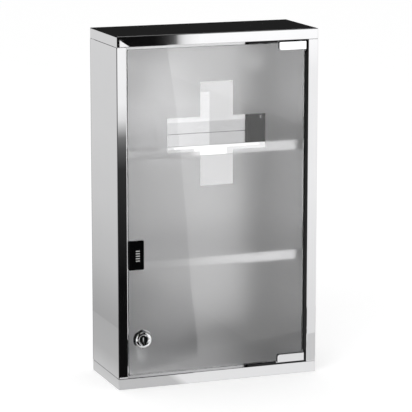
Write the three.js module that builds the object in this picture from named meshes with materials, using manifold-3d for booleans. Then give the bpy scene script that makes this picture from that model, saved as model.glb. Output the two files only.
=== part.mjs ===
// A wall-hung medicine cabinet folded from polished stainless sheet: a frosted glass door on two pivot
// clamps, a cam lock, a push catch and two shelves.
// Millimetres, +Z up, the door faces -Y, and the origin is the centre of the base's underside.
import * as THREE from "three";
import { mergeVertices } from "three/addons/utils/BufferGeometryUtils.js";
import Module from "manifold-3d";

const wasm = await Module();
wasm.setup();

// Overall sizes of the cabinet.
const WIDTH = 300;
const DEPTH = 120;
const HEIGHT = 500;

// Sheet metal: thickness, outside bend radius, and the widths of the folded edges.
const SHEET = 1;
const BEND = 1.2;
const TRAY_RIM = 0.8;
const CAP_FLANGE = 15;
const BASE_FLANGE = 16;
const FRONT_LIP = 14;
const SIDE_LIP = 10;
const STILE = 14.5;
const STILE_RETURN = 9.5;
const REAR_FLANGE = 14;

// Clearances: between sheets that meet, between pieces that seat, and of pieces that turn or slide.
const SEAM = 0.3;
const FIT = 0.1;
const RUNNING = 0.2;

// Keyholes in the back, for two wall screws.
const KEYHOLE_SPACING = 200;
const KEYHOLE_DROP = 45;
const KEYHOLE_HEAD = 9;
const KEYHOLE_SLOT = 5;
const KEYHOLE_RISE = 10;

// Shelves: height of each top face, folded edges, and the angle rails under their ends.
const UPPER_SHELF = 340;
const LOWER_SHELF = 180;
const SHELF_SETBACK = 18;
const SHELF_LIP = 15;
const SHELF_HEM = 8;
const SHELF_REAR_FLANGE = 10;
const RAIL_LEG = 12;
const RAIL_LENGTH = 74;

// Glass door: thickness, recess behind the front face, gaps in the opening, and its ground edges.
const GLASS = 4;
const GLASS_RECESS = 2;
const GLASS_GAP_LEFT = 2;
const GLASS_GAP_RIGHT = 5.5;
const GLASS_GAP_END = 4;
const GLASS_CORNER = 2;
const GLASS_CHAMFER = 0.5;

// Frosting on the back of the glass, with a clear cross.
const FROST = 0.2;
const FROST_MARGIN = 0.6;
const CROSS_SIZE = 147;
const CROSS_ARM = 49;
const CROSS_DROP = 123;

// Pivot clamps: a slotted block at each end of the door's right edge, with a liner, a pin and grub screws.
const CLAMP_LENGTH = 41;
const CLAMP_HEIGHT = 12;
const CLAMP_WALL = 1.2;
const CLAMP_REAR_JAW = 3.7;
const CLAMP_CORNER = 3;
const LINER = 0.6;
const PIVOT_INSET = 8;
const PIN_RADIUS = 2.5;
const PIN_STEM = 2;
const PIN_COLLAR = 3.4;
const PIN_COLLAR_HEIGHT = 0.7;
const PIN_LENGTH = 6;
const BUSH_WALL = 0.9;
const GRUB_RADIUS = 2;
const GRUB_SPACING = 20;
const GRUB_SOCKET = 1.1;

// Push clip on the door's left edge, and the steel strike plate let into its back.
const CLIP_WIDTH = 22.5;
const CLIP_HEIGHT = 42;
const CLIP_CENTRE = 192.5;
const CLIP_FRONT = 2.9;
const CLIP_REAR = 1.7;
const CLIP_EDGE = 0.9;
const CLIP_CORNER = 2;
const STRIKE_WIDTH = 16;
const STRIKE_HEIGHT = 18;
const STRIKE = 1;
const STRIKE_POCKET = 0.6;

// Cam lock through the glass, low on the left.
const LOCK_INSET = 20.5;
const LOCK_HEIGHT = 70;
const BEZEL_RADIUS = 11.4;
const BEZEL = 3;
const BEZEL_CREST = 9.2;
const BEZEL_CREST_HEIGHT = 1.5;
const BEZEL_DISH = 2;
const BARREL_RADIUS = 9.2;
const GASKET = 0.6;
const NUT_FLATS = 24;
const NUT = 3.4;
const PLUG_RADIUS = 6;
const KEYWAY_WIDTH = 2;
const KEYWAY_LENGTH = 8;
const KEYWAY_DEPTH = 6;
const TAIL = 7;
const CAM = 2;
const CAM_WIDTH = 15;
const CAM_REACH = 33;
const CAM_PLAY = 1.5;
const CAM_SCREW_HEAD = 4.2;
const CAM_SCREW_HEAD_HEIGHT = 1.8;
const CAM_SCREW_SHANK = 1.5;
const CAM_SCREW_LENGTH = 5;

// Push catch on the lower shelf, behind the clip.
const CATCH_WIDTH = 16;
const CATCH_HEIGHT = 18.8;
const CATCH_LENGTH = 42;
const CATCH_OVERHANG = 3;
const CATCH_EAR = 8;
const CATCH_EAR_LENGTH = 16;
const CATCH_EAR_THICKNESS = 2.5;
const PLUNGER_RADIUS = 5;
const PLUNGER_LENGTH = 29;
const PLUNGER_TRAVEL = 3;
const MAGNET_RADIUS = 4;
const MAGNET = 3;
const MAGNET_PROUD = 0.5;
const MAGNET_GAP = 0.3;
const SPRING_WIRE = 0.45;
const SPRING_RADIUS = 3.8;
const SPRING_LENGTH = 12;
const SPRING_TURNS = 6;
const SCREW_RADIUS = 1.5;
const SCREW_HEAD = 2.9;
const SCREW_HEAD_HEIGHT = 1.6;
const SCREW_LENGTH = 7;

// Facets of round faces.
const ROUND = 32;
const BEND_STEPS = 3;
const CREST_STEPS = 6;

// Places worked out from the sizes above.
const FRONT = -DEPTH / 2;
const BACK = DEPTH / 2;
const SIDE = WIDTH / 2;
const OPENING_BOTTOM = BASE_FLANGE;
const OPENING_TOP = HEIGHT - CAP_FLANGE;
const OPENING_SIDE = SIDE - STILE;
const MIDDLE = (OPENING_BOTTOM + OPENING_TOP) / 2;
const INSIDE = SIDE - SHEET;
const PANEL_REAR = BACK - SHEET - SEAM;
const GLASS_LEFT = -OPENING_SIDE + GLASS_GAP_LEFT;
const GLASS_RIGHT = OPENING_SIDE - GLASS_GAP_RIGHT;
const GLASS_BOTTOM = OPENING_BOTTOM + GLASS_GAP_END;
const GLASS_TOP = OPENING_TOP - GLASS_GAP_END;
const GLASS_FRONT = FRONT + GLASS_RECESS;
const GLASS_REAR = GLASS_FRONT + GLASS;
const SLOT_GAP = LINER + 2 * FIT;
const CLAMP_RIGHT = GLASS_RIGHT + SLOT_GAP + CLAMP_WALL;
const CLAMP_LEFT = CLAMP_RIGHT - CLAMP_LENGTH;
const CLAMP_TOP = GLASS_TOP + SLOT_GAP + CLAMP_WALL;
const CLAMP_BOTTOM = CLAMP_TOP - CLAMP_HEIGHT;
const CLAMP_FRONT = GLASS_FRONT - SLOT_GAP - CLAMP_WALL;
const CLAMP_REAR = GLASS_REAR + SLOT_GAP + CLAMP_REAR_JAW;
const PIVOT_X = CLAMP_RIGHT - PIVOT_INSET;
const PIVOT_Y = (CLAMP_FRONT + CLAMP_REAR) / 2;
const CLIP_LEFT = GLASS_LEFT - FIT - CLIP_EDGE;
const CLIP_RIGHT = CLIP_LEFT + CLIP_WIDTH;
const CLIP_REAR_FACE = GLASS_REAR + FIT + CLIP_REAR;
const CLIP_X = (CLIP_LEFT + CLIP_RIGHT) / 2;
const LOCK_X = GLASS_LEFT + LOCK_INSET;
const BEZEL_BACK = GLASS_FRONT - 2 * FIT - GASKET;
const CAM_FRONT = FRONT + STILE_RETURN + CAM_PLAY;
const CATCH_Z = LOWER_SHELF + FIT + CATCH_HEIGHT / 2;
const STRIKE_FACE = CLIP_REAR_FACE - STRIKE_POCKET + FIT + STRIKE;
const MAGNET_FACE = STRIKE_FACE + MAGNET_GAP;
const PLUNGER_FRONT = MAGNET_FACE + MAGNET_PROUD;
const PLUNGER_REAR = PLUNGER_FRONT + PLUNGER_LENGTH;
const SHELF_FRONT = FRONT + SHELF_SETBACK;
const CATCH_FRONT = SHELF_FRONT - CATCH_OVERHANG;

// The three drawing planes of an extrusion: seen from above, from the front and from the right.
const axes = (x, y, z) => new THREE.Matrix4().makeBasis(x, y, z);
const [X, Y, Z] = [new THREE.Vector3(1, 0, 0), new THREE.Vector3(0, 1, 0), new THREE.Vector3(0, 0, 1)];
const PLAN = { frame: axes(X, Y, Z), along: Z, reversed: false };
const ELEVATION = { frame: axes(X, Z, Y.clone().negate()), along: Y, reversed: true };
const PROFILE = { frame: axes(Y, Z, X), along: X, reversed: false };

// A closed three.js geometry as a solid that can be joined and cut.
function solid(geometry) {
  const bare = geometry.clone();
  bare.deleteAttribute("normal");
  bare.deleteAttribute("uv");
  const merged = mergeVertices(bare, 1e-4);
  const vertProperties = merged.getAttribute("position").array;
  const triVerts = new Uint32Array(merged.getIndex().array);
  return new wasm.Manifold(new wasm.Mesh({ numProp: 3, vertProperties, triVerts }));
}

// An outline pushed through from one place to another across its plane. Its rims are chamfered or rounded if
// asked.
function extrude(shape, plane, from, to, rim = 0, rimSteps = 1) {
  const geometry = new THREE.ExtrudeGeometry(shape, {
    depth: to - from - 2 * rim,
    curveSegments: BEND_STEPS,
    bevelEnabled: rim > 0,
    bevelThickness: rim,
    bevelSize: rim,
    bevelOffset: -rim,
    bevelSegments: rimSteps,
  });
  const start = plane.reversed ? to - rim : from + rim;
  geometry.applyMatrix4(plane.frame);
  geometry.translate(...plane.along.clone().multiplyScalar(start).toArray());
  return solid(geometry);
}

// A box between two opposite corners.
function box([x0, y0, z0], [x1, y1, z1]) {
  const geometry = new THREE.BoxGeometry(x1 - x0, y1 - y0, z1 - z0);
  geometry.translate((x0 + x1) / 2, (y0 + y1) / 2, (z0 + z1) / 2);
  return solid(geometry);
}

// A turned piece: [radius, height] points, from the axis back to the axis, turned about Z or about Y.
function turned(profile, [x, y, z], along = Z) {
  const points = profile.map(([radius, height]) => new THREE.Vector2(radius, height));
  const geometry = new THREE.LatheGeometry(points, ROUND);
  if (along === Z) geometry.rotateX(Math.PI / 2);
  geometry.translate(x, y, z);
  return solid(geometry);
}

// A plain cylinder from one height to another on its axis.
function cylinder(radius, from, to, centre, along = Z) {
  return turned([[0, from], [radius, from], [radius, to], [0, to]], centre, along);
}

// The point at a distance from one corner towards another.
function towards([x, y], [toX, toY], distance) {
  const step = new THREE.Vector2(toX - x, toY - y).setLength(distance);
  return step.add(new THREE.Vector2(x, y));
}

// A closed outline of [x, y, radius] corners, anticlockwise, each rounded by its radius.
function outline(corners) {
  const shape = new THREE.Shape();
  corners.forEach((corner, i) => {
    const [x, y, radius = 0] = corner;
    const into = towards(corner, corners.at(i - 1), radius);
    const out = towards(corner, corners[(i + 1) % corners.length], radius);
    if (i === 0) shape.moveTo(into.x, into.y);
    else shape.lineTo(into.x, into.y);
    if (radius > 0) shape.quadraticCurveTo(x, y, out.x, out.y);
  });
  shape.closePath();
  return shape;
}

// A rectangle with all four corners rounded alike.
function rectangle(x0, x1, y0, y1, radius = 0) {
  return outline([[x0, y0, radius], [x1, y0, radius], [x1, y1, radius], [x0, y1, radius]]);
}

// The section of a folded sheet: its outside face as a line that bends to the left, thickened to the left.
function folded(face) {
  const points = face.map(([x, y]) => new THREE.Vector2(x, y));
  const normals = points.slice(1).map((point, i) => {
    const run = point.clone().sub(points[i]).normalize();
    return new THREE.Vector2(-run.y, run.x);
  });
  const last = points.length - 1;
  const bent = (i) => i > 0 && i < last;
  const outside = points.map(({ x, y }, i) => [x, y, bent(i) ? BEND : 0]);
  const inside = points.map((point, i) => {
    const before = normals[Math.max(i - 1, 0)];
    const after = normals[Math.min(i, last - 1)];
    const mitre = before.clone().add(after).multiplyScalar(SHEET / (1 + before.dot(after)));
    const { x, y } = point.clone().add(mitre);
    return [x, y, bent(i) ? BEND - SHEET : 0];
  });
  return outline([...outside, ...inside.reverse()]);
}

// Materials, as they look on the object.
const material = (color, roughness, metalness) =>
  new THREE.MeshStandardMaterial({ color, roughness, metalness });
const polishedSteel = material(0xd8dadc, 0.08, 1);
const brightSteel = material(0xe4e6e8, 0.15, 1);
const springSteel = material(0x9a9ca0, 0.35, 1);
const clearGlass = material(0xdfe9e6, 0.05, 0);
const frosting = material(0xc9cecd, 0.7, 0);
const blackPlastic = material(0x121213, 0.45, 0);
const whitePlastic = material(0xe8e8e4, 0.5, 0);
const greyRubber = material(0x55585a, 0.8, 0);
const chrome = material(0xe8e8ea, 0.05, 1);
const magnetGrey = material(0x4a4b4f, 0.4, 1);

// A named sub-part of the model.
function piece(name, body, look) {
  const { vertProperties, triVerts } = body.getMesh();
  const geometry = new THREE.BufferGeometry();
  geometry.setAttribute("position", new THREE.BufferAttribute(vertProperties, 3));
  geometry.setIndex(new THREE.BufferAttribute(triVerts, 1));
  geometry.computeVertexNormals();
  const mesh = new THREE.Mesh(geometry, look);
  mesh.name = name;
  return mesh;
}

// The same solid on the other side of the cabinet.
function mirrored(mesh) {
  mesh.scale.x = -1;
  return mesh;
}

const cabinet = new THREE.Group();

// Cap and base: shallow trays with their edges folded in, so that the walls have a lip to stand on.
// The front lip is deeper, and takes the bush of the door's pivot.
const pivot = [PIVOT_X, PIVOT_Y, 0];
function tray(low, high, lipLow) {
  const lipHigh = lipLow + SHEET;
  const skin = extrude(rectangle(-SIDE, SIDE, FRONT, BACK, BEND), PLAN, low, high, TRAY_RIM, BEND_STEPS);
  const hollowLow = lipLow > low ? low + SHEET : lipHigh;
  const hollowHigh = lipLow > low ? lipLow : high - SHEET;
  const hollow = box([-INSIDE, FRONT + SHEET, hollowLow], [INSIDE, BACK - SHEET, hollowHigh]);
  const mouth = box(
    [-SIDE + SIDE_LIP, FRONT + FRONT_LIP, lipLow - SHEET],
    [SIDE - SIDE_LIP, BACK - SIDE_LIP, lipHigh + SHEET],
  );
  const bushHole = cylinder(
    PIN_RADIUS + RUNNING + BUSH_WALL + FIT,
    lipLow - SHEET,
    lipHigh + SHEET,
    pivot,
  );
  return skin.subtract(hollow).subtract(mouth).subtract(bushHole);
}
cabinet.add(
  piece("top_cap", tray(OPENING_TOP, HEIGHT, OPENING_TOP), polishedSteel),
  piece("base_tray", tray(0, OPENING_BOTTOM, OPENING_BOTTOM - SHEET), polishedSteel),
);

// Side panels: the wall, the front stile with its return, the rear flange, and an end flange under each tray
// lip.
const WALL_BOTTOM = OPENING_BOTTOM + SEAM;
const WALL_TOP = OPENING_TOP - SEAM;
function sidePanel() {
  const wall = extrude(
    folded([
      [-SIDE + REAR_FLANGE, PANEL_REAR],
      [-SIDE, PANEL_REAR],
      [-SIDE, FRONT],
      [-OPENING_SIDE, FRONT],
      [-OPENING_SIDE, FRONT + STILE_RETURN],
    ]),
    PLAN,
    WALL_BOTTOM,
    WALL_TOP,
  );
  const flangeFront = FRONT + FRONT_LIP;
  const flangeRear = PANEL_REAR - SIDE_LIP;
  const foot = box(
    [-INSIDE - SHEET / 2, flangeFront, WALL_BOTTOM],
    [-SIDE + SIDE_LIP, flangeRear, WALL_BOTTOM + SHEET],
  );
  const head = box(
    [-INSIDE - SHEET / 2, flangeFront, WALL_TOP - SHEET],
    [-SIDE + SIDE_LIP, flangeRear, WALL_TOP],
  );
  return wall.add(foot).add(head);
}
cabinet.add(
  piece("left_side_panel", sidePanel(), polishedSteel),
  mirrored(piece("right_side_panel", sidePanel(), polishedSteel)),
);

// Back panel: a flat sheet over the rear flanges, its ends folded in under the trays, with two keyholes.
function backPanel() {
  const sheet = box([-SIDE, BACK - SHEET, WALL_BOTTOM], [SIDE, BACK, WALL_TOP]);
  const foldSide = SIDE - REAR_FLANGE - SEAM;
  const ends = extrude(
    folded([
      [BACK - SIDE_LIP, WALL_BOTTOM],
      [BACK, WALL_BOTTOM],
      [BACK, WALL_TOP],
      [BACK - SIDE_LIP, WALL_TOP],
    ]),
    PROFILE,
    -foldSide,
    foldSide,
  );
  const keyholes = [-1, 1].map((side) => {
    const x = (side * KEYHOLE_SPACING) / 2;
    const z = WALL_TOP - KEYHOLE_DROP;
    const head = cylinder(KEYHOLE_HEAD / 2, BACK - 2 * SHEET, BACK + SHEET, [x, 0, z], Y);
    const end = cylinder(KEYHOLE_SLOT / 2, BACK - 2 * SHEET, BACK + SHEET, [x, 0, z + KEYHOLE_RISE], Y);
    const slot = box(
      [x - KEYHOLE_SLOT / 2, BACK - 2 * SHEET, z],
      [x + KEYHOLE_SLOT / 2, BACK + SHEET, z + KEYHOLE_RISE],
    );
    return head.add(end).add(slot);
  });
  return keyholes.reduce((panel, keyhole) => panel.subtract(keyhole), sheet.add(ends));
}
cabinet.add(piece("back_panel", backPanel(), polishedSteel));

// Shelves: a folded sheet with a hemmed front lip and a rear flange, lying on an angle rail at each end.
const SHELF_SIDE = INSIDE - SEAM;
const SHELF_REAR = PANEL_REAR - SHEET - SEAM;
function shelf(top) {
  return extrude(
    folded([
      [SHELF_REAR, top - SHELF_REAR_FLANGE],
      [SHELF_REAR, top],
      [SHELF_FRONT, top],
      [SHELF_FRONT, top - SHELF_LIP],
      [SHELF_FRONT + SHELF_HEM, top - SHELF_LIP],
    ]),
    PROFILE,
    -SHELF_SIDE,
    SHELF_SIDE,
  );
}
function rail(top) {
  const seat = top - SHEET - FIT;
  const face = -INSIDE + FIT;
  const middle = (SHELF_FRONT + SHELF_REAR) / 2;
  return extrude(
    folded([
      [face + RAIL_LEG, seat],
      [face, seat],
      [face, seat - RAIL_LEG],
    ]),
    ELEVATION,
    middle - RAIL_LENGTH / 2,
    middle + RAIL_LENGTH / 2,
  );
}
const EAR_CENTRE = (CATCH_WIDTH + CATCH_EAR) / 2;
const EAR_Y = CATCH_FRONT + CATCH_LENGTH / 2;
const earPlaces = [-1, 1].map((side) => [CLIP_X + side * EAR_CENTRE, EAR_Y, 0]);
const catchHoles = earPlaces.map((place) =>
  cylinder(SCREW_RADIUS + FIT, LOWER_SHELF - 2 * SHEET, LOWER_SHELF + SHEET, place),
);
cabinet.add(
  piece("upper_shelf", shelf(UPPER_SHELF), polishedSteel),
  piece("lower_shelf", shelf(LOWER_SHELF).subtract(catchHoles[0]).subtract(catchHoles[1]), polishedSteel),
);
for (const [level, top] of [["upper", UPPER_SHELF], ["lower", LOWER_SHELF]]) {
  cabinet.add(
    piece(level + "_left_rail", rail(top), brightSteel),
    mirrored(piece(level + "_right_rail", rail(top), brightSteel)),
  );
}

// Glass door, with ground edges and a hole for the lock.
const lockAxis = [LOCK_X, 0, LOCK_HEIGHT];
const glassHole = cylinder(BARREL_RADIUS + SEAM, GLASS_FRONT - GLASS, GLASS_REAR + GLASS, lockAxis, Y);
const glass = extrude(
  rectangle(GLASS_LEFT, GLASS_RIGHT, GLASS_BOTTOM, GLASS_TOP, GLASS_CORNER),
  ELEVATION,
  GLASS_FRONT,
  GLASS_REAR,
  GLASS_CHAMFER,
);
cabinet.add(piece("door_glass", glass.subtract(glassHole), clearGlass));

// Frosting: a thin skin on the back of the glass, open at the cross and clear of the fittings.
const frostFront = GLASS_REAR + FIT;
function crossOutline(x, z) {
  const [arm, tip] = [CROSS_ARM / 2, CROSS_SIZE / 2];
  const quarter = [[arm, -tip], [arm, -arm], [tip, -arm]];
  const corners = [0, 1, 2, 3].flatMap((turn) =>
    quarter.map(([px, pz]) => {
      const corner = new THREE.Vector2(px, pz).rotateAround(new THREE.Vector2(), (turn * Math.PI) / 2);
      return [x + corner.x, z + corner.y];
    }),
  );
  return outline(corners);
}
function frostCut(x0, x1, z0, z1) {
  return box([x0 - SEAM, frostFront - FROST, z0 - SEAM], [x1 + SEAM, frostFront + 2 * FROST, z1 + SEAM]);
}
const frostSheet = extrude(
  rectangle(
    GLASS_LEFT + FROST_MARGIN,
    GLASS_RIGHT - FROST_MARGIN,
    GLASS_BOTTOM + FROST_MARGIN,
    GLASS_TOP - FROST_MARGIN,
  ),
  ELEVATION,
  frostFront,
  frostFront + FROST,
);
const crossX = (GLASS_LEFT + GLASS_RIGHT) / 2;
const crossWindow = extrude(
  crossOutline(crossX, GLASS_TOP - CROSS_DROP),
  ELEVATION,
  frostFront - FROST,
  frostFront + 2 * FROST,
);
const NUT_RADIUS = NUT_FLATS / Math.sqrt(3);
const nutClear = cylinder(NUT_RADIUS + SEAM, frostFront - FROST, frostFront + 2 * FROST, lockAxis, Y);
const frost = [
  crossWindow,
  nutClear,
  frostCut(CLAMP_LEFT, CLAMP_RIGHT, CLAMP_BOTTOM, CLAMP_TOP),
  frostCut(CLAMP_LEFT, CLAMP_RIGHT, 2 * MIDDLE - CLAMP_TOP, 2 * MIDDLE - CLAMP_BOTTOM),
  frostCut(CLIP_LEFT, CLIP_RIGHT, CLIP_CENTRE - CLIP_HEIGHT / 2, CLIP_CENTRE + CLIP_HEIGHT / 2),
].reduce((skin, cut) => skin.subtract(cut), frostSheet);
cabinet.add(piece("frost_layer", frost, frosting));

// Pivot hinges: the clamp grips the glass through a liner, two grub screws press on the liner from behind,
// and a collared pin turns in a flanged bush in the tray's front lip. The lower set mirrors the upper one.
const GRUB_Z = (CLAMP_BOTTOM + GLASS_TOP) / 2;
const GRUB_X = (CLAMP_LEFT + GLASS_RIGHT) / 2;
const grubPlaces = [-1, 1].map((side) => [GRUB_X + (side * GRUB_SPACING) / 2, 0, GRUB_Z]);
function clamp() {
  const block = extrude(
    outline([
      [CLAMP_LEFT, CLAMP_BOTTOM, CLAMP_CORNER],
      [CLAMP_RIGHT, CLAMP_BOTTOM, CLAMP_WALL],
      [CLAMP_RIGHT, CLAMP_TOP, CLAMP_WALL],
      [CLAMP_LEFT, CLAMP_TOP, CLAMP_WALL],
    ]),
    ELEVATION,
    CLAMP_FRONT,
    CLAMP_REAR,
    CLAMP_WALL / 3,
  );
  const slot = box(
    [CLAMP_LEFT - CLAMP_WALL, GLASS_FRONT - SLOT_GAP, CLAMP_BOTTOM - CLAMP_WALL],
    [GLASS_RIGHT + SLOT_GAP, GLASS_REAR + SLOT_GAP, GLASS_TOP + SLOT_GAP],
  );
  const pinHole = cylinder(PIN_STEM + FIT, CLAMP_TOP - 2 * CLAMP_WALL, CLAMP_TOP + CLAMP_WALL, pivot);
  const grubHoles = grubPlaces.map((place) =>
    cylinder(GRUB_RADIUS + FIT, GLASS_REAR, CLAMP_REAR + CLAMP_WALL, place, Y),
  );
  return block.subtract(slot).subtract(pinHole).subtract(grubHoles[0]).subtract(grubHoles[1]);
}
function liner() {
  const [front, rear, top] = [GLASS_FRONT - FIT, GLASS_REAR + FIT, GLASS_TOP + FIT];
  const section = outline([
    [front - LINER, CLAMP_BOTTOM + LINER],
    [front, CLAMP_BOTTOM + LINER],
    [front, top],
    [rear, top],
    [rear, CLAMP_BOTTOM + LINER],
    [rear + LINER, CLAMP_BOTTOM + LINER],
    [rear + LINER, top + LINER],
    [front - LINER, top + LINER],
  ]);
  return extrude(section, PROFILE, CLAMP_LEFT + LINER, GLASS_RIGHT + LINER);
}
const COLLAR_TOP = CLAMP_TOP + FIT + PIN_COLLAR_HEIGHT;
const BUSH_BOTTOM = COLLAR_TOP + SEAM;
const PIN_TOP = OPENING_TOP + PIN_LENGTH;
function pin() {
  return turned(
    [
      [0, CLAMP_TOP - CLAMP_WALL],
      [PIN_STEM, CLAMP_TOP - CLAMP_WALL],
      [PIN_STEM, CLAMP_TOP + FIT],
      [PIN_COLLAR, CLAMP_TOP + FIT],
      [PIN_COLLAR, COLLAR_TOP],
      [PIN_RADIUS, COLLAR_TOP],
      [PIN_RADIUS, PIN_TOP - PIN_RADIUS / 4],
      [PIN_RADIUS * 0.75, PIN_TOP],
      [0, PIN_TOP],
    ],
    pivot,
  );
}
function bush() {
  const bore = PIN_RADIUS + RUNNING;
  const top = OPENING_TOP + PIN_LENGTH;
  return turned(
    [
      [bore, BUSH_BOTTOM],
      [bore + 2 * BUSH_WALL, BUSH_BOTTOM],
      [bore + 2 * BUSH_WALL, OPENING_TOP - FIT],
      [bore + BUSH_WALL, OPENING_TOP - FIT],
      [bore + BUSH_WALL, top],
      [bore, top],
      [bore, BUSH_BOTTOM],
    ],
    pivot,
  );
}
function grub(place) {
  const tip = GLASS_REAR + SLOT_GAP;
  const end = CLAMP_REAR - FIT;
  const socket = new THREE.CylinderGeometry(GRUB_SOCKET, GRUB_SOCKET, GRUB_RADIUS * 2, 6);
  socket.translate(place[0], end, place[2]);
  return cylinder(GRUB_RADIUS, tip, end, place, Y).subtract(solid(socket));
}
function hinge(level) {
  const set = new THREE.Group();
  set.add(
    piece(level + "_hinge_clamp", clamp(), chrome),
    piece(level + "_hinge_liner", liner(), greyRubber),
    piece(level + "_hinge_pin", pin(), brightSteel),
    piece(level + "_hinge_bush", bush(), whitePlastic),
    piece(level + "_grub_screw_left", grub(grubPlaces[0]), springSteel),
    piece(level + "_grub_screw_right", grub(grubPlaces[1]), springSteel),
  );
  return set;
}
const lowerHinge = hinge("lower");
lowerHinge.scale.z = -1;
lowerHinge.position.z = 2 * MIDDLE;
cabinet.add(hinge("upper"), lowerHinge);

// Push clip: a moulded clip round the glass's left edge, with a strike plate let into its back for the catch.
const clipBottom = CLIP_CENTRE - CLIP_HEIGHT / 2;
const clipTop = CLIP_CENTRE + CLIP_HEIGHT / 2;
const clipFace = extrude(
  outline([
    [CLIP_LEFT, clipBottom, CLIP_CORNER / 2],
    [CLIP_RIGHT, clipBottom, CLIP_CORNER],
    [CLIP_RIGHT, clipTop, CLIP_CORNER],
    [CLIP_LEFT, clipTop, CLIP_CORNER / 2],
  ]),
  ELEVATION,
  GLASS_FRONT - FIT - CLIP_FRONT,
  GLASS_FRONT - FIT,
  CLIP_CORNER / 4,
  BEND_STEPS,
);
const clipEdge = box(
  [CLIP_LEFT, GLASS_FRONT - FIT - CLIP_FRONT / 2, clipBottom + CLIP_CORNER],
  [CLIP_LEFT + CLIP_EDGE, CLIP_REAR_FACE, clipTop - CLIP_CORNER],
);
const clipBack = box(
  [CLIP_LEFT, GLASS_REAR + FIT, clipBottom + CLIP_CORNER],
  [CLIP_RIGHT - CLIP_CORNER, CLIP_REAR_FACE, clipTop - CLIP_CORNER],
);
const strikePocket = box(
  [CLIP_X - STRIKE_WIDTH / 2 - FIT, CLIP_REAR_FACE - STRIKE_POCKET, CATCH_Z - STRIKE_HEIGHT / 2 - FIT],
  [CLIP_X + STRIKE_WIDTH / 2 + FIT, CLIP_REAR_FACE + STRIKE, CATCH_Z + STRIKE_HEIGHT / 2 + FIT],
);
const strike = box(
  [CLIP_X - STRIKE_WIDTH / 2, STRIKE_FACE - STRIKE, CATCH_Z - STRIKE_HEIGHT / 2],
  [CLIP_X + STRIKE_WIDTH / 2, STRIKE_FACE, CATCH_Z + STRIKE_HEIGHT / 2],
);
cabinet.add(
  piece("push_clip", clipFace.add(clipEdge).add(clipBack).subtract(strikePocket), blackPlastic),
  piece("strike_plate", strike, brightSteel),
);

// Cam lock: the barrel and its domed bezel clamp the glass between a gasket and a nut. The plug sits in the
// dish of the bezel, and turns the cam.
const BEZEL_FRONT = BEZEL_BACK - BEZEL;
const BARREL_REAR = CAM_FRONT - FIT;
const PLUG_BORE = PLUG_RADIUS + RUNNING;
const plugFront = BEZEL_FRONT + BEZEL_DISH;
const crest = Array.from({ length: CREST_STEPS + 1 }, (_, i) => {
  const angle = (Math.PI * i) / CREST_STEPS;
  const radius = BEZEL_CREST - (BEZEL_RADIUS - BEZEL_CREST) * Math.cos(angle);
  return [radius, BEZEL_FRONT + BEZEL_CREST_HEIGHT * (1 - Math.sin(angle))];
});
const barrel = turned(
  [
    [PLUG_BORE, plugFront],
    ...crest,
    [BEZEL_RADIUS, BEZEL_BACK],
    [BARREL_RADIUS, BEZEL_BACK],
    [BARREL_RADIUS, BARREL_REAR],
    [PLUG_BORE, BARREL_REAR],
    [PLUG_BORE, plugFront],
  ],
  lockAxis,
  Y,
);
const gasketFront = BEZEL_BACK + FIT;
const gasket = cylinder(BEZEL_RADIUS - FIT, gasketFront, gasketFront + GASKET, lockAxis, Y).subtract(
  cylinder(BARREL_RADIUS + FIT, gasketFront - GASKET, gasketFront + 2 * GASKET, lockAxis, Y),
);
const nutFront = GLASS_REAR + FIT;
const nutShape = new THREE.CylinderGeometry(NUT_RADIUS, NUT_RADIUS, NUT, 6);
nutShape.translate(LOCK_X, nutFront + NUT / 2, LOCK_HEIGHT);
const nutBore = cylinder(BARREL_RADIUS + FIT, GLASS_REAR - NUT, GLASS_REAR + 2 * NUT, lockAxis, Y);
const nut = solid(nutShape).subtract(nutBore);
const camRear = CAM_FRONT + CAM;
const tailHalf = TAIL / 2;
const keyway = box(
  [LOCK_X - KEYWAY_WIDTH / 2, plugFront - KEYWAY_DEPTH, LOCK_HEIGHT - KEYWAY_LENGTH / 2],
  [LOCK_X + KEYWAY_WIDTH / 2, plugFront + KEYWAY_DEPTH, LOCK_HEIGHT + KEYWAY_LENGTH / 2],
);
const tail = box(
  [LOCK_X - tailHalf, BARREL_REAR - CAM, LOCK_HEIGHT - tailHalf],
  [LOCK_X + tailHalf, camRear - FIT, LOCK_HEIGHT + tailHalf],
);
const camScrewTip = camRear + FIT - CAM_SCREW_LENGTH;
const camScrewHole = cylinder(CAM_SCREW_SHANK + FIT, camScrewTip - FIT, camRear + CAM, lockAxis, Y);
const plugBody = cylinder(PLUG_RADIUS, plugFront, BARREL_REAR, lockAxis, Y);
const plug = plugBody.subtract(keyway).add(tail).subtract(camScrewHole);
const camHalf = CAM_WIDTH / 2;
const camPlate = extrude(
  outline([
    [LOCK_X - camHalf, LOCK_HEIGHT - CAM_REACH, camHalf / 2],
    [LOCK_X + camHalf, LOCK_HEIGHT - CAM_REACH, camHalf / 2],
    [LOCK_X + camHalf, LOCK_HEIGHT + camHalf, camHalf],
    [LOCK_X - camHalf, LOCK_HEIGHT + camHalf, camHalf],
  ]),
  ELEVATION,
  CAM_FRONT,
  camRear,
);
const tailHole = box(
  [LOCK_X - tailHalf - FIT, CAM_FRONT - CAM, LOCK_HEIGHT - tailHalf - FIT],
  [LOCK_X + tailHalf + FIT, camRear + CAM, LOCK_HEIGHT + tailHalf + FIT],
);
const camScrew = turned(
  [
    [0, camScrewTip],
    [CAM_SCREW_SHANK, camScrewTip],
    [CAM_SCREW_SHANK, camRear + FIT],
    [CAM_SCREW_HEAD + FIT, camRear + FIT],
    [CAM_SCREW_HEAD, camRear + CAM_SCREW_HEAD_HEIGHT],
    [0, camRear + CAM_SCREW_HEAD_HEIGHT],
  ],
  lockAxis,
  Y,
);
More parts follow.
